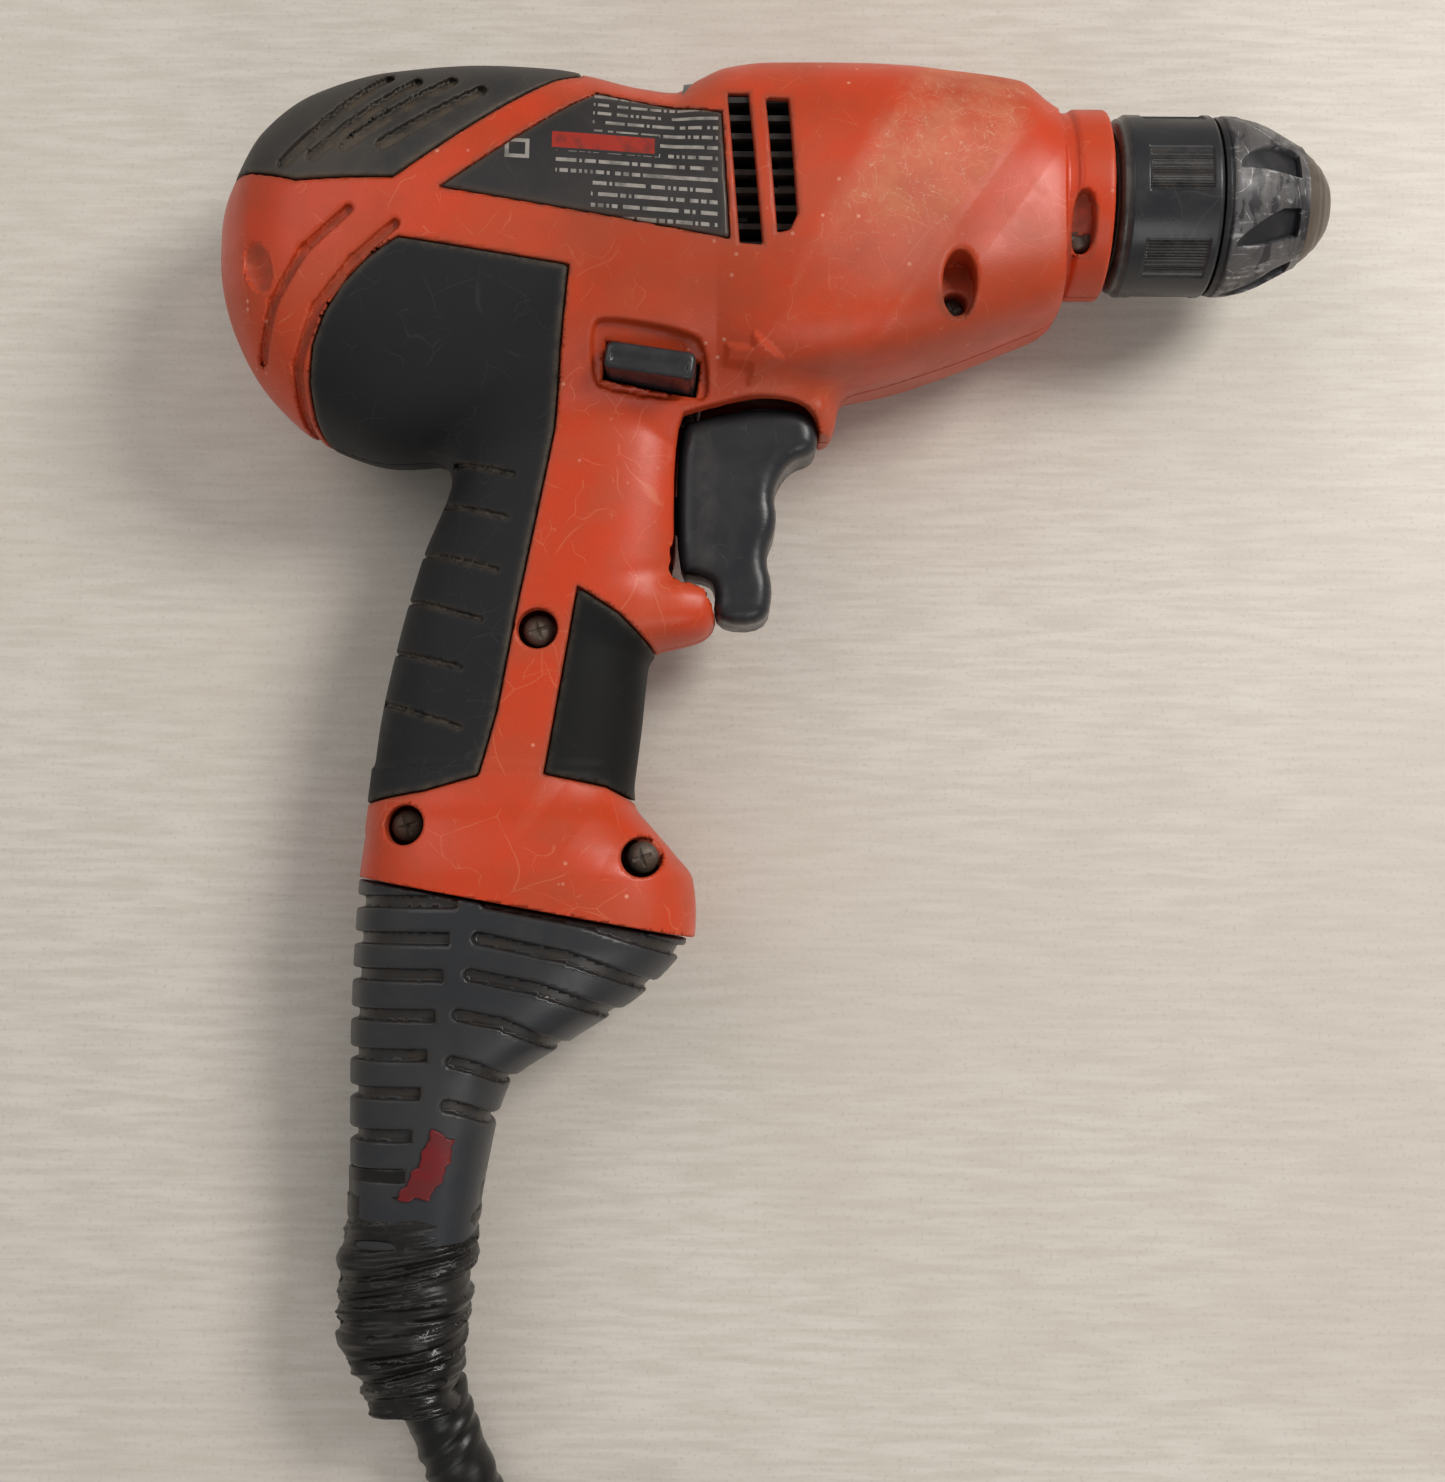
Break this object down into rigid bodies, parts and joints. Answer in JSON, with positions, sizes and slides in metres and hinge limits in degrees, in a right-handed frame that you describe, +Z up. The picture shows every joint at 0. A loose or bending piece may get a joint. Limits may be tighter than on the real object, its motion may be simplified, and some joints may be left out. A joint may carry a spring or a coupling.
{
  "type": "corded drill",
  "caption": "Pistol-grip power drill with a keyless chuck, soft grips, trigger, reverse bar, ribbed cord boot and coiled mains cord.",
  "frame": {"origin": "middle of the drill's footprint as it lies on its left side, at ground level", "axes": "+X along the spindle to the chuck's nose, +Y up the drill from grip to barrel, +Z up from the ground, through the drill's right side"},
  "size_m": [0.2636, 0.4476, 0.0698],
  "materials": {
    "orange_housing": "glass-filled nylon, satin, scuffed",
    "black_overmould": "soft elastomer, matte",
    "black_plastic": "moulded, satin",
    "boot_rubber": "moulded rubber, dusty",
    "label_foil": "printed film",
    "sleeve_plastic": "moulded, worn shiny",
    "worn_metallised": "metallised plastic, scratched",
    "blued_steel": "steel, tarnished",
    "steel": "machined",
    "zinc_screw": "zinc plated, dusty",
    "lamination": "laminated steel, varnished",
    "copper_winding": "enamelled copper",
    "commutator_copper": "bare copper bars",
    "carbon": "carbon block",
    "brass_part": "stamped",
    "cast_case": "zinc casting",
    "bronze_bush": "sintered bronze",
    "grey_plastic": "moulded",
    "red_tape": "tape scrap",
    "black_tape": "electrical tape",
    "cord_jacket": "cord jacket",
    "nickel_blade": "nickel plated"
  },
  "bodies": {
    "drill": {"housing_right": "orange_housing", "housing_left": "orange_housing", "rating_label": "label_foil", "rear_grip_right": "black_overmould", "rear_grip_left": "black_overmould", "front_grip_right": "black_overmould", "front_grip_left": "black_overmould", "top_pad_right": "black_overmould", "top_pad_left": "black_overmould", "stator_core": "lamination", "field_coils": "copper_winding", "brush_holders": "brass_part", "carbon_brushes": "carbon", "brush_springs": "steel", "fan_baffle": "grey_plastic", "spindle_bearing": "steel", "motor_bearing_front": "steel", "motor_bearing_rear": "steel", "gear_case": "cast_case", "gear_case_cover": "cast_case", "spindle_seal": "black_plastic", "gear_bushes": "bronze_bush", "trigger_spring": "steel", "switch": "black_plastic", "housing_screws": "zinc_screw", "cord_boot": "boot_rubber", "cord_inner_run": "cord_jacket", "cord_clamp": "grey_plastic", "clamp_screws": "zinc_screw", "red_tape_patch": "red_tape", "tape_knot": "black_tape", "supply_cord": "cord_jacket", "cord_tape_sleeve": "black_tape", "cord_coil": "cord_jacket", "cord_tail": "cord_jacket", "cord_tie": "black_plastic", "plug_body": "cord_jacket", "plug_blades": "nickel_blade"},
    "armature": {"armature_core": "lamination", "armature_windings": "copper_winding", "commutator": "commutator_copper", "cooling_fan": "grey_plastic", "armature_shaft": "steel", "motor_bearing_inner_rings": "steel"},
    "jackshaft": {"first_stage_wheel": "steel", "jackshaft": "steel"},
    "spindle": {"spindle_gear": "steel", "spindle_bearing_inner_ring": "steel", "spindle": "steel", "chuck_body": "blued_steel", "chuck_screw": "zinc_screw", "chuck_rear_sleeve": "sleeve_plastic"},
    "chuck_sleeve": {"chuck_front_sleeve": "worn_metallised", "chuck_nut": "steel"},
    "jaw_1": {"chuck_jaw_1": "steel"},
    "jaw_2": {"chuck_jaw_2": "steel"},
    "jaw_3": {"chuck_jaw_3": "steel"},
    "trigger": {"trigger": "black_plastic"},
    "reverse_bar": {"reverse_bar": "black_plastic"},
    "lock_button": {"lock_button": "black_plastic"}
  },
  "joints": [
    {"name": "spindle_spin", "type": "hinge", "parent": "drill", "child": "spindle", "pos_m": [0.0482, 0.1263, 0.03576], "axis": [1, 0, 0], "continuous": true},
    {"name": "jackshaft_spin", "type": "hinge", "parent": "drill", "child": "jackshaft", "pos_m": [0.0182, 0.11157, 0.02058], "axis": [1, 0, 0], "continuous": true},
    {"name": "armature_spin", "type": "hinge", "parent": "drill", "child": "armature", "pos_m": [-0.0518, 0.11232, 0.03496], "axis": [1, 0, 0], "continuous": true},
    {"name": "chuck_sleeve_turn", "type": "hinge", "parent": "spindle", "child": "chuck_sleeve", "pos_m": [0.1142, 0.1263, 0.03576], "axis": [1, 0, 0], "range_deg": [0, 4135.87]},
    {"name": "jaw_1_slide", "type": "slide", "parent": "spindle", "child": "jaw_1", "axis": [0.9613, -0.2752, -0.0156], "range_m": [0, 0.01723]},
    {"name": "jaw_2_slide", "type": "slide", "parent": "spindle", "child": "jaw_2", "axis": [0.9613, 0.1511, -0.2305], "range_m": [0, 0.01723]},
    {"name": "jaw_3_slide", "type": "slide", "parent": "spindle", "child": "jaw_3", "axis": [0.9613, 0.1241, 0.2461], "range_m": [0, 0.01723]},
    {"name": "trigger_pull", "type": "slide", "parent": "drill", "child": "trigger", "axis": [-1, 0, 0], "range_m": [0, 0.0065], "stiffness_N_per_m": 900, "springref_m": -0.003, "deforming": ["trigger_spring"]},
    {"name": "reverse_bar_slide", "type": "slide", "parent": "drill", "child": "reverse_bar", "axis": [0, 0.0567, -0.9984], "range_m": [0, 0.004]},
    {"name": "lock_button_press", "type": "slide", "parent": "drill", "child": "lock_button", "axis": [0, -0.0567, 0.9984], "range_m": [0, 0.0025], "stiffness_N_per_m": 600, "springref_m": -0.001}
  ],
  "couplings": [
    {"joint": "jackshaft_spin", "follows": "spindle_spin", "ratio": -4.2222},
    {"joint": "armature_spin", "follows": "spindle_spin", "ratio": 18.296},
    {"joint": "jaw_1_slide", "follows": "chuck_sleeve_turn", "m_per_rad": 0.00023873},
    {"joint": "jaw_2_slide", "follows": "chuck_sleeve_turn", "m_per_rad": 0.00023873},
    {"joint": "jaw_3_slide", "follows": "chuck_sleeve_turn", "m_per_rad": 0.00023873}
  ]
}
